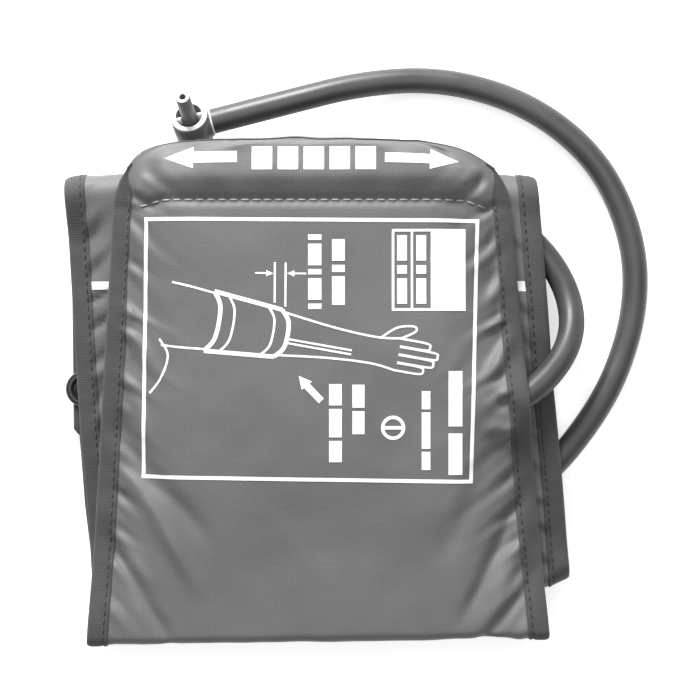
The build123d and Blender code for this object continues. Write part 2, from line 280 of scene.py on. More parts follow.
def coated_wire(name):
    shader = Shader(name, 0.25, Coat_Weight=0.3, Coat_Roughness=0.12)
    marks = shader.noise(3.0, 3.0, "Object")
    shader.colour(shader.ramp(marks, 0.012, 0.022))
    shader.roughness(shader.ramp(marks, 0.15, 0.3))
    return shader.material


def pile(name, level):
    """Brushed loops: blotchy, no gloss, strong fuzz."""
    shader = Shader(name, 0.95, Sheen_Weight=0.2, Sheen_Roughness=0.6)
    loops = shader.noise(0.7, 3.0)
    shader.colour(shader.ramp(loops, level * 0.6, level * 1.25))
    shader.bump(loops, 1.0, 0.6)
    return shader.material


def floor_material():
    shader = Shader("floor_paper", 0.9, Emission_Color=(1, 1, 1, 1), Emission_Strength=0.55)
    shader.colour(shader.ramp(shader.noise(60.0, 2.0, "Object"), 0.90, 0.93))
    return shader.material


# -------- small geometry helpers
def smooth(value, start, end):
    t = max(0.0, min(1.0, (value - start) / (end - start)))
    return t * t * (3 - 2 * t)


def hump(value, centre, width):
    return math.exp(-(((value - centre) / width) ** 2))


def wobble(x, y, size, seed=0.0):
    return noise.noise(Vector((x / size, y / size, seed)))


def between(edges, y):
    """Left and right x of a panel at a given y."""
    if y <= edges[0][0]:
        return edges[0][1:]
    for (y0, l0, r0), (y1, l1, r1) in zip(edges, edges[1:]):
        if y <= y1:
            t = (y - y0) / (y1 - y0)
            return l0 + (l1 - l0) * t, r0 + (r1 - r0) * t
    return edges[-1][1:]


def make_object(name, points, faces, material, uvs=None):
    """A mesh object from points in millimetres; uvs, one per point, are in metres."""
    mesh = bpy.data.meshes.new(name)
    mesh.from_pydata([(x * MM, y * MM, z * MM) for x, y, z in points], [], faces)
    if uvs:
        layer = mesh.uv_layers.new(name="UVMap")
        for loop in mesh.loops:
            layer.data[loop.index].uv = uvs[loop.vertex_index]
    mesh.polygons.foreach_set("use_smooth", [True] * len(mesh.polygons))
    mesh.validate()
    mesh.materials.append(material)
    return add_object(name, mesh)


def joined(name, parts, material):
    """One object from several sets of points and faces."""
    points, faces = [], []
    for more_points, more_faces in parts:
        faces += [tuple(len(points) + corner for corner in face) for face in more_faces]
        points += more_points
    return make_object(name, points, faces, material)


def outward(made):
    """Turns the faces of a closed mesh outward."""
    work = bmesh.new()
    work.from_mesh(made.data)
    bmesh.ops.recalc_face_normals(work, faces=work.faces)
    work.to_mesh(made.data)
    work.free()
    return made


def circle(sides):
    """Angles of evenly spaced points once round a circle."""
    return [2 * math.pi * k / sides for k in range(sides)]


def tube_faces(rings, sides, first=0):
    """Faces between rings of points that lie one after another, each ring closed on itself."""
    faces = []
    for ring in range(rings - 1):
        for k in range(sides):
            a, b = first + ring * sides + k, first + ring * sides + (k + 1) % sides
            faces.append((a, b, b + sides, a + sides))
    return faces


# -------- the fabric strip
def straight(start, end):
    """A run: its length, its share of the step, and (y, z, direction y, direction z) for t from 0 to 1."""
    (y0, z0), (y1, z1) = start, end
    length = math.hypot(y1 - y0, z1 - z0)
    way = (y1 - y0) / length, (z1 - z0) / length
    return length, 1.0, lambda t: (y0 + (y1 - y0) * t, z0 + (z1 - z0) * t, *way)


def turn(centre, radius, start, end):
    """An arc between two angles in degrees, given in the same form as a straight run."""
    sense = math.copysign(1.0, end - start)

    def at(t):
        a = math.radians(start + (end - start) * t)
        way = -math.sin(a) * sense, math.cos(a) * sense
        return centre[0] + radius * math.cos(a), centre[1] + radius * math.sin(a), *way

    return abs(math.radians(end - start)) * radius, 0.6, at


def follow(segments, step):
    """Rows of (distance, y, z, direction y, direction z) along runs and arcs."""
    rows, done = [], 0.0
    for length, share, at in segments:
        count = max(3, round(length / (step * share)))
        rows += [(done + length * (k / count), *at(k / count)) for k in range(count)]
        done += length
    last = rows[-1]
    on = done - last[0]
    rows.append((done, last[1] + last[3] * on, last[2] + last[4] * on, *last[3:]))
    return rows


class Strip:
    """A run of the cuff's fabric: a curved sheet with an outer and an inner face."""

    def __init__(self, segments, side, span, lift, slant, step, across,
                 puff=lambda y: 0.0, close=lambda y: 1.0):
        self.rows = follow(segments, step)
        self.side, self.span, self.lift, self.slant, self.across = side, span, lift, slant, across
        self.puff, self.close = puff, close

    def normal(self, row):
        return -row[4] * self.side, row[3] * self.side

    def thickness(self, row, x):
        left, right = self.span(row)
        edge = min(x - left, right - x)
        full = THIN + (THICK - THIN) * smooth(edge, 4.0, 14.0) + self.puff(row[1])
        return full * self.close(row[1])

    def point(self, row, x, depth):
        """depth 0 is the outer face and 1 the inner face."""
        ny, nz = self.normal(row)
        y = row[1] + self.slant(row, x)
        off = self.lift(row, x, y) - depth * self.thickness(row, x)
        return Vector((x, y + ny * off, row[2] + nz * off))

    def offset_point(self, row, x, depth, stand):
        ny, nz = self.normal(row)
        way = 1.0 if depth < 0.5 else -1.0
        return self.point(row, x, depth) + Vector((0, ny, nz)) * stand * way

    def build(self, name, material, first_cap=True):
        points, uvs, faces = [], [], []
        n = self.across
        for row in self.rows:
            left, right = self.span(row)
            for depth in (0.0, 1.0):
                for k in range(n + 1):
                    x = left + (right - left) * k / n
                    points.append(self.point(row, x, depth))
                    uvs.append((x * MM, row[0] * MM))
        width = 2 * (n + 1)
        for r in range(len(self.rows) - 1):
            a, b = r * width, (r + 1) * width
            for k in range(n):
                faces.append((a + k, a + k + 1, b + k + 1, b + k))
                c, d = a + n + 1, b + n + 1
                faces.append((c + k + 1, c + k, d + k, d + k + 1))
            faces.append((a + n + 1, a, b, b + n + 1))
            faces.append((a + n, a + 2 * n + 1, b + 2 * n + 1, b + n))
        end = (len(self.rows) - 1) * width
        for k in range(n):
            if first_cap:
                faces.append((k + 1, k, n + 1 + k, n + 2 + k))
            faces.append((end + k, end + k + 1, end + n + 2 + k, end + n + 1 + k))
        return outward(make_object(name, points, faces, material, uvs))

    # tape, drawn from its inner edge on the outer face round to its inner edge on the inner face
    TAPE = ((6.9, 0, 0.0), (6.75, 0, 0.42), (5.9, 0, 0.52), (5.2, 0, 0.24), (4.5, 0, 0.52), (3.0, 0, 0.55),
            (1.4, 0, 0.52), (0.3, 0, 0.30), (-0.45, 0, -0.25), (-0.45, 1, -0.25), (0.3, 1, 0.30),
            (1.4, 1, 0.52), (3.4, 1, 0.55), (5.2, 1, 0.40), (6.75, 1, 0.42), (6.9, 1, 0.0))

    def tape_point(self, row, left_side, place):
        inward, depth, stand = place
        left, right = self.span(row)
        x = left + inward if left_side else right - inward
        inside = min(max(x, left), right)
        spot = self.offset_point(row, inside, depth, stand)
        spot.x = x
        return spot

    def tape(self, name, left_side, material, rows=None, grip=lambda row: 1.0):
        """Binding tape round one edge; grip is the share of its width that shows."""
        points, uvs = [], []
        n = len(self.TAPE)
        rows = rows or self.rows
        for row in rows:
            shift = 0.25 * wobble(row[0], 3.0 if left_side else 7.0, 9.0)
            ripple = 0.10 * wobble(row[0], 11.0, 3.5)
            for k, (inward, depth, stand) in enumerate(self.TAPE):
                reach = (inward + (shift if inward > 4 else 0.0)) * grip(row)
                place = (reach, depth, stand + (ripple if stand > 0.3 else 0.0))
                points.append(self.tape_point(row, left_side, place))
                uvs.append((row[0] * MM, k * 0.9 * MM))
        faces = tube_faces(len(rows), n)
        end = (len(rows) - 1) * n
        faces.append(tuple(range(n)))
        faces.append(tuple(end + k for k in reversed(range(n))))
        return outward(make_object(name, points, faces, material, uvs))

    def row_at(self, distance):
        for a, b in zip(self.rows, self.rows[1:]):
            if distance <= b[0]:
                t = (distance - a[0]) / (b[0] - a[0])
                return tuple(p + (q - p) * t for p, q in zip(a, b))
        return self.rows[-1]

    def row_over(self, y, way):
        """The row at y where the strip runs towards +Y (way 1) or -Y (way -1)."""
        for a, b in zip(self.rows, self.rows[1:]):
            if a[3] * way > 0.9 and (a[1] - y) * (b[1] - y) <= 0:
                return self.row_at(a[0] + (b[0] - a[0]) * (y - a[1]) / (b[1] - a[1]))
        return self.rows[-1]

    def edge_stitches(self, left_side, start, end, depth=0):
        """Ends of each stitch along the tape, as pairs of points, with the way the face looks."""
        pairs, at = [], start
        while at + STITCH_LENGTH < end:
            ends = [self.tape_point(self.row_at(at + d), left_side, (5.2, depth, 0.40))
                    for d in (0.0, STITCH_LENGTH)]
            ny, nz = self.normal(self.row_at(at + STITCH_LENGTH / 2))
            pairs.append((*ends, Vector((0, ny, nz)) * (1 if depth == 0 else -1)))
            at += STITCH_PITCH
        return pairs


def stitches(name, pairs, radius, material):
    """Short threads, each thick in the middle and diving at both ends."""
    points, faces = [], []
    for a, b, up in pairs:
        along = b - a
        side = along.cross(up).normalized()
        rings = ((0.0, 0.35, -0.5), (0.2, 0.9, 0.1), (0.5, 1.0, 0.3), (0.8, 0.9, 0.1), (1.0, 0.35, -0.5))
        first = len(points)
        for t, size, lift in rings:
            centre = a + along * t + up * radius * lift
            for angle in circle(6):
                points.append(centre + (side * math.cos(angle) + up * math.sin(angle)) * radius * size)
        faces += tube_faces(len(rings), 6, first)
        faces.append(tuple(first + k for k in reversed(range(6))))
        faces.append(tuple(first + 24 + k for k in range(6)))
    return outward(make_object(name, points, faces, material))


# -------- shapes of the panels
def puckers(edge, along, seed, size=1.1):
    """Gathers that the tape pulls into the fabric, slanting and fading away from it."""
    if edge > 36:
        return 0.0
    rise = smooth(edge, 3.5, 9.5)
    reach = rise * math.exp(-max(edge - 8.0, 0.0) / (5.5 + 5.0 * wobble(along, seed, 22.0)))
    skew = along + 0.75 * edge + 5.0 * wobble(along, seed + 5, 14.0)
    wave = math.sin(2 * math.pi * skew / GATHER_PITCH + seed)
    wave += 0.45 * math.sin(2 * math.pi * skew / 6.1 + 2 * seed)
    return size * reach * wave * (0.5 + 1.1 * abs(wobble(along, seed + 9, 17.0)))


def ridge(x, y, start, end, width, height):
    """A long soft fold along a line, highest at its middle."""
    (x0, y0), (x1, y1) = start, end
    length = math.hypot(x1 - x0, y1 - y0)
    ux, uy = (x1 - x0) / length, (y1 - y0) / length
    t = ((x - x0) * ux + (y - y0) * uy) / length
    across = (x - x0) * uy - (y - y0) * ux
    across += 1.6 * math.sin(3.0 * t + x0)
    fade = smooth(t, -0.15, 0.3) * (1 - smooth(t, 0.7, 1.15))
    return height * fade * math.exp(-((across / width) ** 2))


FLAP_RIDGES = (
    ((-70.0, -17.0), (-42.0, -67.0), 3.0, 1.9),
    ((-70.5, -8.0), (-38.0, -52.0), 3.4, -1.5),
    ((-71.0, -44.0), (-51.0, -86.0), 2.4, -1.6),
    ((-72.0, -38.0), (-58.0, -66.0), 2.6, 1.2),
    ((-68.0, 8.0), (-56.0, -16.0), 2.4, 1.0),
    ((-67.0, 30.0), (-57.0, 12.0), 2.4, 0.9),
    ((-66.0, 48.0), (-52.0, 22.0), 4.6, -1.1),
    ((74.0, -34.0), (50.0, -76.0), 2.6, -2.0),
    ((75.0, -42.0), (58.0, -78.0), 3.2, 1.5),
    ((76.0, -58.0), (56.0, -88.0), 2.2, -1.3),
    ((62.0, -20.0), (42.0, -56.0), 4.2, -1.0),
    ((71.5, -12.0), (58.0, -14.0), 2.6, 1.5),
    ((71.0, -5.0), (59.0, -2.0), 2.4, -1.1),
    ((69.0, 22.0), (58.0, 8.0), 2.6, 1.2),
    ((66.0, 52.0), (58.0, 34.0), 2.6, -0.9),
    ((-66.0, 62.0), (-50.0, 69.0), 2.2, -0.8),
    ((62.0, 61.0), (46.0, 69.0), 2.2, -0.8),
)


def clear_of_join(row):
    """0 where the flap's fabric runs on into the base's, half way up the fold, and 1 away from it."""
    return smooth(abs(row[2] - MID_WALL), 0.5, 8.0)


def flap_lift(row, x, y):
    """Height of the flap's cover over the flat sheet."""
    left, right = between(FLAP_EDGES, y)
    from_left, from_right = x - left, right - x
    flat = smooth(y, -86.0, -50.0)
    over_hose = hump(y, -3.0, 13.0)
    drop = 7.5 * (1 - smooth(from_left, 0.0, 30.0))
    drop += (8.0 - 8.4 * over_hose) * (1 - smooth(from_right, 0.0, 30.0))
    drop *= flat * (1 - 0.35 * smooth(y, 64.0, 88.0))
    sag = 1.2 * smooth(abs(y + 6.0), 16.0, 52.0) * flat
    sag *= smooth(min(from_left, from_right), 5.0, 40.0)
    lift = -drop - sag
    lift += (puckers(from_left, y, 1.3) + puckers(from_right, y, 4.1, 1.5)) * (0.4 + 0.6 * flat)
    lift += sum(ridge(x, y, *values) for values in FLAP_RIDGES)
    lift += 0.75 * wobble(x, y, 34.0, 2.0) + 0.22 * wobble(x, y, 11.0, 4.0)
    if row[4] > 0.9:
        lift = 0.4 * lift - 0.5
    lift *= clear_of_join(row)
    line = hem_line(x)
    inside = smooth(min(from_left, from_right), 0.0, 24.0)
    lift += inside * smooth(y, line + 0.2, line + 9.0) * (2.7 + 0.6 * wobble(x, y * 0.4, 10.0, 8.0))
    lift -= 1.7 * smooth(y, line + 8.0, FLAP_TIP)
    stitch = math.sin(2 * math.pi * x / HEM_PITCH)
    lift -= (0.3 + 0.9 * inside) * (1.0 + 0.15 * stitch) * hump(y, line, 1.6)
    lift += 0.05 * stitch * hump(y, line - 3.0, 3.5)
    full = THICK + hem_puff(y)
    return lift - 0.5 * full * (1 - hem_close(y))


def hem_line(x):
    """The stitch line of the hem, which dips at both ends."""
    return HEM_LINE - 2.4 * (smooth(-x, 52.0, 63.0) + smooth(x, 50.0, 61.0))


def hem_puff(y):
    """Extra thickness of the cover where it is turned over into a soft roll."""
    return 1.8 * smooth(y, HEM_LINE, HEM_LINE + 7.0)


def hem_close(y):
    """Share of the thickness left where the roll rounds over at the flap's free end."""
    over = max(0.0, min(1.0, (y - FLAP_TIP + HEM_ROUND) / HEM_ROUND))
    return math.sqrt(max(1 - over * over, 0.004))


def flap_slant(row, x):
    """Uneven fold at the bottom and a slightly wavy free end."""
    end = smooth(row[1], 76.0, FLAP_TIP)
    return fold_slant(row, x) + end * (0.75 * wobble(x, 0.0, 13.0, 31.0) - 0.006 * x)


def fold_slant(row, x):
    """The bottom fold runs slightly uphill to the right and is a little uneven."""
    near = 1 - smooth(row[1], -84.0, -45.0)
    return near * (0.017 * x + 0.5 * wobble(x, 0.0, 25.0, 6.0))


def flap_strip():
    """From half way up the fold wall over to the rolled free end."""
    radius, top = 3.6, FLAP_TOP
    segments = (
        straight((WALL_OUT, MID_WALL), (WALL_OUT, top - radius)),
        turn((WALL_OUT + radius, top - radius), radius, 180, 90),
        straight((WALL_OUT + radius, top), (FLAP_TIP - HEM_ROUND, top)),
        straight((FLAP_TIP - HEM_ROUND, top), (FLAP_TIP - 0.7, top)),
        straight((FLAP_TIP - 0.7, top), (FLAP_TIP, top)),
    )
    return Strip(segments, 1.0, lambda row: between(FLAP_EDGES, row[1]), flap_lift, flap_slant,
                 step=0.9, across=180, puff=hem_puff, close=hem_close)


def base_lift(row, x, y):
    """The base lies flat; its cover stands off the table by the thickness of the pile."""
    flat = 1 - smooth(row[2], 1.0, 9.0)
    left, right = between(BASE_EDGES, row[1])
    edge = min(x - left, right - x)
    wall = (1 - flat) * (puckers(x - left, row[0], 2.2, 0.5) + puckers(right - x, row[0], 5.2, 0.5)
                         + 0.6 * wobble(x, row[0], 26.0, 3.0) - 0.7)
    wall *= clear_of_join(row)
    return -0.88 * flat - 0.15 * flat * (1 + wobble(x, y, 15.0, 1.0)) * smooth(edge, 6, 12) + wall


def base_thinning(y):
    """The base is pressed thinner than the fold wall, which leaves room for the D-ring above it."""
    return -0.6 * smooth(y, WALL_OUT + 1.0, WALL_OUT + 12.0)


def base_strip():
    """From half way up the fold wall down and along the table."""
    radius = 6.0
    segments = (
        straight((WALL_OUT, MID_WALL), (WALL_OUT, radius)),
        turn((WALL_OUT + radius, radius), radius, 180, 270),
        straight((WALL_OUT + radius, 0.0), (TOP_EDGE - 8.5, 0.0)),
    )
    return Strip(segments, -1.0, lambda row: between(BASE_EDGES, row[1]), base_lift, fold_slant,
                 step=2.0, across=90, puff=base_thinning)


def inner_lift(row, x, y):
    """The inner panel: its free edges hang a little, and it gives way under the hose."""
    upper = smooth(row[2], INNER_TOP - 5.0, INNER_TOP - 0.5)
    below = 1 - smooth(row[2], RING_END_LOW + 0.5, RING_END_LOW + 5.0)
    edges = RING_END_EDGES if row[3] > 0.5 and row[1] < 0 else INNER_EDGES
    left, right = between(edges, row[1])
    from_left, from_right = x - left, right - x
    middle = smooth(y, -70.0, -48.0) * (1 - smooth(y, 52.0, 72.0))
    drop = 4.5 * (1 - smooth(from_left, 0.0, 24.0)) * middle
    under_hose = 2.6 * hump(y, 4.0, 15.0) + 2.2 * hump(y, -58.0, 16.0) + 1.0 * hump(y, 66.0, 8.0)
    drop += under_hose * (1 - smooth(from_right, 4.0, 24.0)) * middle
    lift = -drop * upper
    fabric = puckers(from_left, row[0], 3.1, 1.5) + puckers(from_right, row[0], 6.4, 1.2)
    fabric *= 1 - 0.8 * smooth(y, 62.0, 70.0)
    fabric += 0.55 * wobble(x, row[0], 24.0, 12.0) + 0.2 * wobble(x, row[0], 8.0, 15.0)
    lift += fabric * (1 - 0.8 * below) * (1 - 0.75 * hump(y, 44.0, 10.0) * smooth(x, 50, 70))
    flat_base = 1 - smooth(row[2], 0.5, 4.0)
    if row[1] > 0 and row[3] > 0.5:
        lift = lift * (1 - flat_base) - 0.75 * flat_base
    return lift


def inner_span(row):
    y = row[1]
    if row[3] > 0.5 and y < 0:
        return between(RING_END_EDGES, y)
    if row[3] > 0.5 and y > 0 and row[2] < 6:
        return between(BASE_EDGES, y)
    return between(INNER_EDGES, y)


def inner_slant(row, x):
    """The end fold runs uphill to the right and droops before its corner; the top fold bows a little."""
    near = 1 - smooth(row[1], END_FOLD_Y, -10.0 if row[3] > 0.5 else 10.0)
    left, right = between(INNER_EDGES, row[1])
    droop = 3.4 * smooth(right - x, 0.0, 10.0) * smooth(x, 30.0, 65.0)
    bow = 2.6 * (1 - math.exp(-max(min(x - left, right - x), 0.0) / 11.0)) * smooth(row[1], 58.0, TOP_EDGE)
    return near * (0.044 * (x + 77.0) - droop) + bow


def inner_strip():
    """Top fold, inner panel, end fold and short ring end, in one run."""
    radius, small = 7.8, 6.5
    y_out, y_end, low_z, top_z = TOP_EDGE, END_FOLD_Y, RING_END_LOW, INNER_TOP
    segments = (
        straight((y_out - 9.5, 0.0), (y_out - radius, 0.0)),
        turn((y_out - radius, radius), radius, -90, 0),
        straight((y_out, radius), (y_out, top_z - radius)),
        turn((y_out - radius, top_z - radius), radius, 0, 90),
        straight((y_out - radius, top_z), (y_end + small, top_z)),
        turn((y_end + small, top_z - small), small, 90, 180),
        straight((y_end, top_z - small), (y_end, low_z + small)),
        turn((y_end + small, low_z + small), small, 180, 270),
        straight((y_end + small, low_z), (RING_BAR.y - 1.0, low_z)),
    )
    return Strip(segments, -1.0, inner_span, inner_lift, inner_slant, step=1.4, across=110)


# -------- hose
HOSE_POINTS = (
    (77.5, 1.4, 26.0), (89.9, 18.0, 23.6), (89.6, 36.0, 14.5), (78.4, 53.4, 12.6),
    (58.0, 67.0, 12.7), (34.0, 64.5, 12.7), (17.0, 50.0, 12.7), (11.5, 28.0, 12.7),
    (12.5, -8.0, 12.7), (27.0, -32.0, 12.7), (53.0, -41.0, 12.7), (78.5, -32.8, 12.7),
    (101.5, -5.0, 9.4), (112.0, 19.5, 5.4), (114.9, 42.0, 4.7), (111.0, 62.5, 4.7),
    (101.5, 81.5, 4.7), (86.0, 96.5, 4.7), (66.5, 106.8, 4.7), (42.0, 112.3, 4.8),
    (16.0, 110.2, 7.4),
)
PORT = Vector((32.0, -10.6, 25.1))
PORT_WAY = Vector((math.cos(math.radians(5.0)), math.sin(math.radians(5.0)), 0.0))
PLUG = Vector((-43.6, 94.5, 10.5))
PLUG_HEADING, PLUG_LEAN = 14.5, 26.0
PLUG_WAY = Vector((math.cos(math.radians(PLUG_HEADING)), math.sin(math.radians(PLUG_HEADING)), 0.0))


def add_hose(material):
    """The air hose from the port to the plug."""
    exit_point = PORT + PORT_WAY * 7.5
    points = [exit_point, PORT + PORT_WAY * 27.5]
    points += [Vector(point) for point in HOSE_POINTS]
    points += [PLUG + PLUG_WAY * 34.3, PLUG + PLUG_WAY * 7.3]
    curve = bpy.data.curves.new("air_hose_rubber", "CURVE")
    curve.dimensions = "3D"
    spline = curve.splines.new("NURBS")
    spline.points.add(len(points) - 1)
    for target, point in zip(spline.points, points):
        target.co = (*(point * MM), 1.0)
    spline.order_u = 3
    spline.use_endpoint_u = True
    spline.resolution_u = 16
    curve.bevel_depth = HOSE_R * MM
    curve.bevel_resolution = 8
    curve.use_fill_caps = True
    curve.materials.append(material)
    hose = add_object("air_hose_rubber", curve)
    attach(hose, "cuff_body")
    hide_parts("air_hose")
    return hose


# -------- things laid on the fabric
class Surface:
    """The upper face of a finished mesh, for laying thin things on it."""

    def __init__(self, made):
        points = [vertex.co / MM for vertex in made.data.vertices]
        self.tree = BVHTree.FromPolygons(points, [tuple(face.vertices) for face in made.data.polygons])

    def at(self, x, y, stand):
        spot, normal, _, _ = self.tree.ray_cast(Vector((x, y, 100.0)), Vector((0, 0, -1)))
        return spot + normal * stand


def ribbon(surface, path, cell=1.0, stand=0.14):
    """Points and faces of a painted stroke that follows the cloth; path holds (x, y, width)."""
    samples = []
    for (x0, y0, w0), (x1, y1, w1) in zip(path, path[1:]):
        count = max(1, math.ceil(math.hypot(x1 - x0, y1 - y0) / cell))
        samples += [(x0 + (x1 - x0) * k / count, y0 + (y1 - y0) * k / count, w0 + (w1 - w0) * k / count)
                    for k in range(count)]
    samples.append(path[-1])
    columns = max(1, math.ceil(max(width for _, _, width in path) / cell))
    points, faces = [], []
    for k, (x, y, width) in enumerate(samples):
        before, after = samples[max(k - 1, 0)], samples[min(k + 1, len(samples) - 1)]
        way = Vector((after[0] - before[0], after[1] - before[1])).normalized()
        for c in range(columns + 1):
            off = width * (c / columns - 0.5)
            points.append(surface.at(x - way.y * off, y + way.x * off, stand))
    for k in range(len(samples) - 1):
        for c in range(columns):
            a = k * (columns + 1) + c
            faces.append((a, a + columns + 1, a + columns + 2, a + 1))
    return points, faces


def curve_through(points, width, steps=6):
    """A smooth stroke through given points."""
    ends = [points[0], *points, points[-1]]
    path = []
    for a, b, c, d in zip(ends, ends[1:], ends[2:], ends[3:]):
        for k in range(steps):
            t = k / steps
            spot = [0.5 * (2 * q + (r - p) * t + (2 * p - 5 * q + 4 * r - s) * t * t
                           + (3 * q - p - 3 * r + s) * t ** 3) for p, q, r, s in zip(a, b, c, d)]
            path.append((*spot, width))
    path.append((*points[-1], width))
    return path


def bar(x0, x1, y0, y1):
    """A filled upright block."""
    middle = (y0 + y1) / 2
    return [(x0, middle, y1 - y0), (x1, middle, y1 - y0)]


def outline(corners, width):
    """Straight strokes round a closed shape, each a little too long so that the corners are full."""
    strokes = []
    for (x0, y0), (x1, y1) in zip(corners, corners[1:] + corners[:1]):
        way = Vector((x1 - x0, y1 - y0)).normalized() * width / 2
        strokes.append([(x0 - way.x, y0 - way.y, width), (x1 + way.x, y1 + way.y, width)])
    return strokes


def arrow(tail, neck, tip, shaft, head):
    """A straight arrow from tail to tip, whose head starts at neck."""
    return [[(*tail, shaft), (*neck, shaft)], [(*neck, head), (*tip, 0.05)]]


def blocks(x0, x1, y0, y1, gap, sizes):
    """A column of plain blocks, in place of a line of lettering; sizes are shares of the column."""
    strokes, y = [], y1
    unit = (y1 - y0 - gap * (len(sizes) - 1)) / sum(sizes)
    for size in sizes:
        strokes.append(bar(x0, x1, y - unit * size, y))
        y -= unit * size + gap
    return strokes


FRAME = [(-58.2, 60.5), (56.2, 59.8), (53.8, -30.0), (-59.1, -28.3)]
ARM_START, ARM_END = Vector((-46.0, 27.0)), Vector((20.0, 15.3))


def arm_spot(along, across):
    """A point of the plain arm figure, from its shoulder end and its middle line."""
    way = (ARM_END - ARM_START).normalized()
    spot = ARM_START + way * along + Vector((-way.y, way.x)) * across
    return spot.x, spot.y


def arm_stroke(width, *spots):
    return curve_through([arm_spot(*spot) for spot in spots], width)


def arm_figure():
    """A generic arm: two tapering sides, an open hand, and a plain band with a tube."""
    strokes = [arm_stroke(0.75, (-6.0, -9.0), (-2.0, -14.0), (-3.0, -22.0), (-6.0, -28.0))]
    for side in (1, -1):
        strokes.append(arm_stroke(0.75, (-5.0, 11.0 * side), (2.0, 10.6 * side), (10.0, 9.8 * side)))
        strokes.append(arm_stroke(0.75, (34.0, 7.6 * side), (52.0, 5.4 * side), (67.0, 4.6 * side),
                                  (76.0, 5.6 * side)))
        strokes.append(arm_stroke(1.5, (10.0, 10.4 * side), (34.0, 8.2 * side)))
    for along, half, width in ((10.0, 10.4, 1.5), (15.0, 9.9, 0.8), (29.0, 8.6, 0.8), (34.0, 8.2, 1.5)):
        strokes.append(arm_stroke(width, (along, half), (along + 3.0, half / 2), (along + 3.0, -half / 2),
                                  (along, -half)))
    for middle, reach in ((4.2, 85.0), (1.4, 88.0), (-1.4, 87.0), (-4.2, 84.0)):
        strokes.append(arm_stroke(0.75, (76.0, middle + 1.3), (reach, middle + 1.2), (reach + 1.3, middle),
                                  (reach, middle - 1.2), (76.0, middle - 1.3)))
    strokes.append(arm_stroke(0.75, (69.0, 4.6), (74.0, 9.0), (79.5, 10.4), (80.5, 8.8), (76.0, 5.6)))
    strokes += [arm_stroke(0.7, (38.0, across), (60.0, across)) for across in (-1.4, -2.8)]
    return strokes


def flap_print():
    """Strokes of the print: frame, arrows, size box, scale lines, blank blocks and a plain arm figure."""
    strokes = outline(FRAME, 1.3)
    strokes += arrow((-26.6, 81.7), (-41.7, 81.4), (-51.7, 81.3), 3.9, 7.6)
    strokes += arrow((24.2, 81.4), (39.7, 80.9), (49.6, 80.2), 3.3, 7.2)
    strokes += [bar(x, x + 7.0, 77.2, 85.2) for x in (-21.5, -12.6, -3.7, 5.2, 14.1)]
    strokes += [bar(40.0, 52.0, 28.75, 56.95)]
    strokes += outline([(27.0, 56.5), (40.4, 56.5), (40.4, 29.2), (27.0, 29.2)], 0.9)
    strokes += [[(33.5, 56.5, 0.8), (33.5, 29.2, 0.8)]]
    for x0, x1 in ((28.4, 31.8), (35.0, 38.4)):
        strokes += blocks(x0, x1, 31.2, 54.8, 1.6, (3, 1, 3))
    strokes += [[(-13.6, 45.5, 0.7), (-13.7, 31.6, 0.7)], [(-9.9, 45.4, 0.7), (-10.0, 30.2, 0.7)]]
    strokes += arrow((-20.4, 41.8), (-16.6, 41.7), (-14.1, 41.6), 0.6, 2.2)
    strokes += arrow((-2.8, 41.6), (-6.9, 41.6), (-9.4, 41.6), 0.6, 2.2)
    strokes += blocks(-2.2, 2.4, 29.4, 55.0, 1.3, (1, 4, 1, 4, 1))
    strokes += blocks(6.0, 10.4, 30.8, 53.4, 1.4, (3, 1, 4))
    strokes += blocks(5.0, 9.4, -23.2, 3.6, 1.2, (3, 4, 3))
    strokes += blocks(13.0, 17.2, -13.6, 3.4, 1.2, (3, 3))
    strokes += blocks(46.0, 50.8, -27.6, 8.1, 2.4, (4, 3))
    strokes += blocks(36.8, 39.8, -25.9, 1.2, 1.0, (2, 4, 2))
    strokes += arrow((2.4, -2.2), (-2.6, 3.0), (-5.4, 6.4), 2.4, 4.6)
    strokes += ring_marker(27.0, -11.4)
    strokes += arm_figure()
    return strokes


def ring_marker(x, y):
    """A ring with a cross bar, a plain marker."""
    angles = [math.pi * k / 12 for k in range(25)]
    ring = [(x + 3.6 * math.cos(a), y + 3.6 * math.sin(a), 1.2) for a in angles]
    return [ring, [(x - 3.2, y, 1.2), (x + 3.2, y, 1.2)]]


def lay_print(name, surface, strokes, material):
    return joined(name, [ribbon(surface, stroke) for stroke in strokes], material)


def patch(strip, name, x_span, y_span, way, depth, height, material):
    """A sewn-on patch: a thin raised sheet that follows one face of a strip."""
    columns = round((x_span[1] - x_span[0]) / 2)
    lines = round((y_span[1] - y_span[0]) / 2)
    points, uvs, faces = [], [], []
    for r in range(lines + 1):
        row = strip.row_over(y_span[0] + (y_span[1] - y_span[0]) * r / lines, way)
        for c in range(columns + 1):
            x = x_span[0] + (x_span[1] - x_span[0]) * c / columns
            rim = r in (0, lines) or c in (0, columns)
            stand = 0.0 if rim else height * (1 + 0.25 * wobble(x, row[1], 7.0, 5.0))
            points.append(strip.offset_point(row, x, depth, stand))
            uvs.append((x * MM, row[1] * MM))
    for r in range(lines):
        for c in range(columns):
            a = r * (columns + 1) + c
            faces.append((a, a + 1, a + columns + 2, a + columns + 1))
    return make_object(name, points, faces, material, uvs)


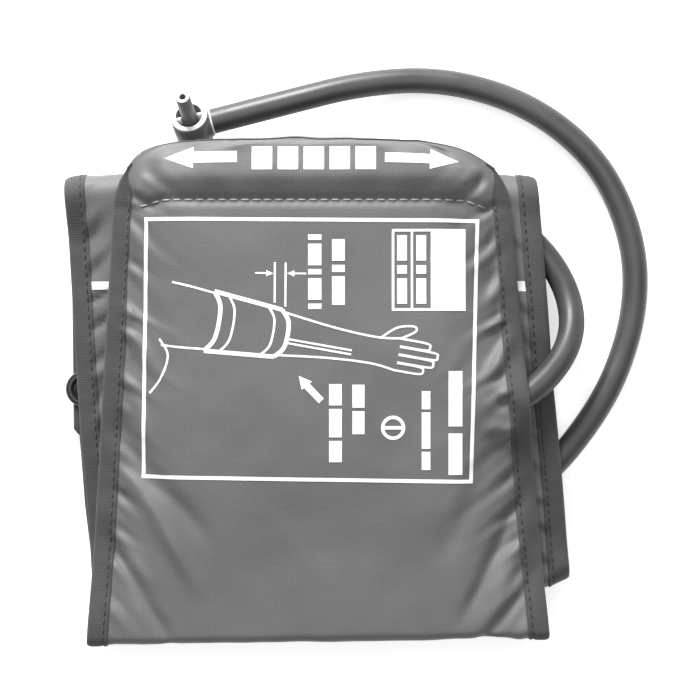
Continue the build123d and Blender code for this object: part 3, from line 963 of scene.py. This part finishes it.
def patch_stitches(strip, x_span, y_span, way, depth, stand):
    """Stitches just inside the border of a patch."""
    normal = Vector((0, *strip.normal(strip.row_over(sum(y_span) / 2, way)))) * (1 if depth == 0 else -1)
    inset = 1.8
    left, right = x_span[0] + inset, x_span[1] - inset
    bottom, top = y_span[0] + inset, y_span[1] - inset
    corners = [(left, bottom), (right, bottom), (right, top), (left, top)]
    pairs = []
    for (x0, y0), (x1, y1) in zip(corners, corners[1:] + corners[:1]):
        count = int(math.hypot(x1 - x0, y1 - y0) / STITCH_PITCH)
        for k in range(count):
            plan = [(x0 + (x1 - x0) * t / count, y0 + (y1 - y0) * t / count) for t in (k + 0.1, k + 0.8)]
            ends = [strip.offset_point(strip.row_over(y, way), x, depth, stand) for x, y in plan]
            pairs.append((*ends, normal))
    return pairs


# -------- plug and ring sleeve
def lathe(profile, place, sides=56):
    """Points and faces of a profile of (radius, height) turned round the Z axis of place."""
    points = [place @ Vector((r * math.cos(angle), r * math.sin(angle), h))
              for r, h in profile for angle in circle(sides)]
    return points, tube_faces(len(profile), sides)


PLUG_WALL = ((0.0, -5.9), (5.0, -5.9), (5.2, -6.4), (6.1, -6.5), (6.55, -6.2), (6.7, -5.6), (6.7, 6.1),
             (6.5, 6.2), (6.5, 6.4), (6.68, 6.55), (6.66, 7.2), (6.45, 7.5), (4.8, 7.5), (4.62, 7.3),
             (4.6, 1.4), (4.3, 1.02), (2.9, 1.0))
NOZZLE_WALL = ((2.95, 1.0), (2.9, 7.4), (2.66, 7.8), (2.62, 12.0), (2.56, 18.8), (2.4, 19.3), (2.2, 19.5),
               (1.25, 19.5), (1.12, 19.3), (1.1, 9.0), (0.0, 9.0))
# Thin rings on the rim, the nozzle tip and the collar; with the ribs they carry the whitish finish, a
# painted highlight where these faces catch the light.
RIM_RING = ((6.5, 7.42), (6.42, 7.58), (6.15, 7.66), (5.0, 7.66), (4.78, 7.58), (4.7, 7.4))
TIP_RING = ((2.36, 19.4), (2.28, 19.56), (2.1, 19.62), (1.4, 19.62), (1.24, 19.56), (1.18, 19.4))
COLLAR = ((4.4, 6.6), (5.0, 6.7), (5.1, 6.85), (5.0, 7.2), (4.8, 7.28), (2.6, 7.28))

BARREL_R, BARREL_ROOT_R, BARREL_END = 5.05, 5.6, 6.8


def plug_place():
    turn_out = Matrix.Rotation(math.radians(PLUG_HEADING), 4, "Z")
    return Matrix.Translation(PLUG) @ turn_out @ Matrix.Rotation(math.radians(-PLUG_LEAN), 4, "X")


def barrel(place, sides=48):
    """Side barrel of the plug, from inside its wall to the collar."""
    rings = []
    for reach in (0.0, 1.0):
        for angle in circle(sides):
            y, z = BARREL_R * math.cos(angle), BARREL_R * math.sin(angle)
            start = math.sqrt(BARREL_ROOT_R ** 2 - y * y)
            rings.append(place @ Vector((start + (BARREL_END - start) * reach, y, z)))
    return rings, tube_faces(2, sides)


def rib(place, side):
    """Thin bridge from the nozzle to the wall of the recess."""
    x0, x1, y, z0, z1 = 2.7 * side, 4.7 * side, 0.38, 1.0, 7.1
    corners = (x0, -y), (x1, -y), (x1, y), (x0, y)
    points = [place @ Vector((*corner, z)) for z in (z0, z1) for corner in corners]
    return points, [(4, 5, 6, 7), (0, 1, 5, 4), (1, 2, 6, 5), (2, 3, 7, 6), (3, 0, 4, 7)]


def add_plug(plastic, highlight_paint):
    place = plug_place()
    along = place @ Matrix.Rotation(math.radians(90), 4, "Y")
    shell = outward(joined("plug_shell", [lathe(PLUG_WALL, place), barrel(place)], plastic))
    nozzle = outward(joined("plug_nozzle_tube", [lathe(NOZZLE_WALL, place)], plastic))
    edges = [lathe(RIM_RING, place), lathe(TIP_RING, place), lathe(COLLAR, along)]
    edges += [rib(place, side) for side in (1, -1)]
    # Rim rings, tip ring, collar and ribs get the whitish finish: painted highlight on faces that catch
    # the light.
    highlight_rims = outward(joined("plug_painted_highlights", edges, highlight_paint))
    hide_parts("plug_body", "plug_end_cap")
    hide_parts("plug_nozzle")
    for piece in (shell, nozzle, highlight_rims):
        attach(piece, "plug")
    return [shell, nozzle, highlight_rims]


def add_ring_sleeve(cloth):
    """Turned end of the fabric round the bar of the D-ring."""
    bar_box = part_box("ring_sleeve")
    x0, x1 = bar_box[0][0] / MM, bar_box[1][0] / MM
    sides, steps = 24, 76
    points, uvs = [], []
    for step in range(steps + 1):
        x = x0 + (x1 - x0) * step / steps
        for angle in circle(sides):
            r = SLEEVE_R + 0.16 * wobble(x, 8 * math.cos(angle), 5.0, 3.0)
            points.append((x, RING_BAR.y + r * math.cos(angle), RING_BAR.z + r * math.sin(angle)))
            uvs.append((x * MM, r * angle * MM))
    faces = tube_faces(steps + 1, sides)
    sleeve = outward(make_object("ring_sleeve_fabric", points, faces, cloth, uvs))
    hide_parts("ring_sleeve")
    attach(sleeve, "cuff_body")


# -------- build
def add_flap(finish):
    """Tail flap and the upper half of the fold wall, with their tapes, seams, print and hook patch."""
    strip = flap_strip()
    shell = strip.build("flap_fabric", finish["cloth"], first_cap=False)
    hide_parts("flap_cover", "flap_padding", "flap_lining", "flap_end_hem", "hem_stiffener")
    tape_rows = [row for row in strip.rows if row[1] < FLAP_TAPE_END]
    tapes = side_tapes(strip, "flap", finish["tape"], rows=tape_rows, grip=flap_grip)
    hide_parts("flap_binding_left")
    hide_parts("flap_binding_right")
    seams = tape_seams(strip, "flap", strip.row_over(HEM_LINE + 2.0, 1)[0], finish["dark thread and painted shadow"])
    for piece in (shell, *tapes, seams):
        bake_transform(piece)
    surface = Surface(shell)
    printed = lay_print("flap_print", surface, flap_print(), finish["ink"])
    seam = stitches("hem_stitches", hem_seam(surface), 0.3, finish["light thread"])
    hooks = patch(strip, "hook_tape_patch", HOOK_X, HOOK_Y, 1, 1, 0.8, finish["hooks"])
    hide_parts("hook_patch")
    hook_seam = stitches("hook_patch_stitches", patch_stitches(strip, HOOK_X, HOOK_Y, 1, 1, 0.85),
                         0.2, finish["dark thread and painted shadow"])
    # The dark cord laid round the rolled end is painted shadow.
    edge = cord_mesh("hem_shadow_line", hem_shadow_line(strip), 0.45, finish["dark thread and painted shadow"])
    for piece in (printed, seam, hooks, hook_seam, edge):
        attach(piece, "tail_flap")


def hem_shadow_line(strip):
    """Line of painted shadow all round the rolled end, where its underside is in shade."""
    rows = [row for row in strip.rows if row[1] > 77.5]
    left = [strip.point(row, strip.span(row)[0], 0.6) for row in rows]
    right = [strip.point(row, strip.span(row)[1], 0.6) for row in reversed(rows)]
    x0, x1 = left[-1].x, right[0].x
    across = [strip.point(rows[-1], x0 + (x1 - x0) * k / 60, 0.6) for k in range(1, 60)]
    return [spot + Vector((0, 0.25, -0.5)) for spot in (*left, *across, *right)]


def cord_mesh(name, line, radius, material):
    """A thin round piping along a line of points."""
    points = []
    for k, spot in enumerate(line):
        way = line[min(k + 1, len(line) - 1)] - line[max(k - 1, 0)]
        side = way.cross(Vector((0, 0, 1))).normalized()
        up = side.cross(way).normalized()
        for angle in circle(8):
            points.append(spot + (side * math.cos(angle) + up * math.sin(angle)) * radius)
    return outward(make_object(name, points, tube_faces(len(line), 8), material))


def side_tapes(strip, panel, material, **shape):
    """Both binding tapes of a panel."""
    return [strip.tape(f"{panel}_tape_{side}", side == "left", material, **shape)
            for side in ("left", "right")]


def flap_grip(row):
    """The flap's tapes narrow towards the rolled hem and run in under it."""
    return 1 - 0.12 * smooth(row[1], 10.0, 45.0) - 0.78 * smooth(row[1], HEM_LINE + 1.0, 79.0)


def tape_seams(strip, panel, length, material):
    """Stitches along both tapes of a panel, on both faces."""
    pairs = [pair for side in (True, False) for depth in (0, 1)
             for pair in strip.edge_stitches(side, 1.0, length - 2.0, depth)]
    return stitches(f"{panel}_tape_stitches", pairs, TAPE_THREAD_R, material)


def hem_seam(surface):
    """Long light stitches across the flap, below the rolled hem."""
    pairs, x = [], -60.5
    while x < 58.5:
        ends = [surface.at(at, hem_line(at), 0.25) for at in (x, x + HEM_STITCH_LENGTH)]
        pairs.append((*ends, Vector((0, 0, 1))))
        x += HEM_PITCH
    return pairs


def add_base(finish):
    """Base panel and the lower half of the fold wall, with their tapes, seams and loop pile."""
    strip = base_strip()
    shell = strip.build("base_fabric", finish["cloth"], first_cap=False)
    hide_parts("base_cover", "base_lining", "wall_cover", "wall_padding", "wall_lining")
    tapes = side_tapes(strip, "base", finish["tape"])
    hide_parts("base_binding_left", "wall_bindings")
    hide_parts("base_binding_right")
    seams = tape_seams(strip, "base", strip.rows[-1][0], finish["dark thread and painted shadow"])
    for piece in (shell, *tapes, seams):
        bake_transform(piece)
    loops = patch(strip, "loop_pile", LOOP_X, LOOP_Y, 1, 0, 0.4, finish["loops"])
    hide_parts("loop_pile_patch")
    seam = stitches("loop_patch_stitches", patch_stitches(strip, LOOP_X, LOOP_Y, 1, 0, 0.42), 0.15,
                    finish["dark thread and painted shadow"])
    for piece in (loops, seam):
        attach(piece, "cuff_body")


def add_inner(finish):
    """Inner panel with its folds, tapes, seams and printed range line."""
    strip = inner_strip()
    shell = strip.build("inner_fabric", finish["cloth"])
    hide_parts("inner_cover", "inner_lining", "top_fold_cover", "top_fold_lining", "end_fold_band",
                "ring_end_panel", "bladder_outer_sheet", "bladder_inner_sheet")
    tapes = side_tapes(strip, "inner", finish["tape"])
    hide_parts("inner_binding_left", "top_fold_bindings")
    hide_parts("inner_binding_right", "end_fold_bindings", "ring_end_bindings")
    seams = tape_seams(strip, "inner", strip.rows[-1][0], finish["dark thread and painted shadow"])
    range_line = [[(-79.6, 37.9, 2.7), (-60.0, 37.9, 2.9), (60.0, 37.7, 3.6), (74.3, 37.6, 3.6)]]
    printed = lay_print("range_line", Surface(shell), range_line, finish["ink"])
    for piece in (shell, *tapes, seams, printed):
        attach(piece, "cuff_body")


def build():
    """Every piece, with the finishes that they share."""
    finish = {
        "cloth": nylon("nylon_cover", 0.135),
        "tape": grosgrain("binding_tape", 0.055),
        # This finish for dark stitches also colours the painted shadow line round the rolled end.
        "dark thread and painted shadow": thread("thread_dark_and_painted_shadow", 0.02),
        "light thread": thread("thread_light", 0.42),
        "ink": ink("print_white"),
        "loops": pile("loop_pile", 0.08),
        "hooks": pile("hook_tape", 0.04),
    }
    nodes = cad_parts
    # The plug's second, whitish finish is painted highlight for its rim rings, tip, collar and ribs.
    plug = add_plug(moulded("plug_plastic", 0.13, 0.42), moulded("plug_painted_highlight", 0.85, 0.35))
    add_hose(rubber("hose_rubber", 0.05, 0.42))
    add_flap(finish)
    add_base(finish)
    add_inner(finish)
    add_ring_sleeve(finish["cloth"])
    carried = {
        "d_ring": coated_wire("ring_coating"),
        "port_flange": moulded("port_rubber", 0.06, 0.5),
        "port_elbow": moulded("port_rubber_elbow", 0.06, 0.45),
        "plug_barb": moulded("plug_barb_plastic", 0.13, 0.45),
    }
    for name, material in carried.items():
        mesh = nodes[name].data
        mesh.materials.clear()
        mesh.materials.append(material)


add_camera()
add_studio()
build()
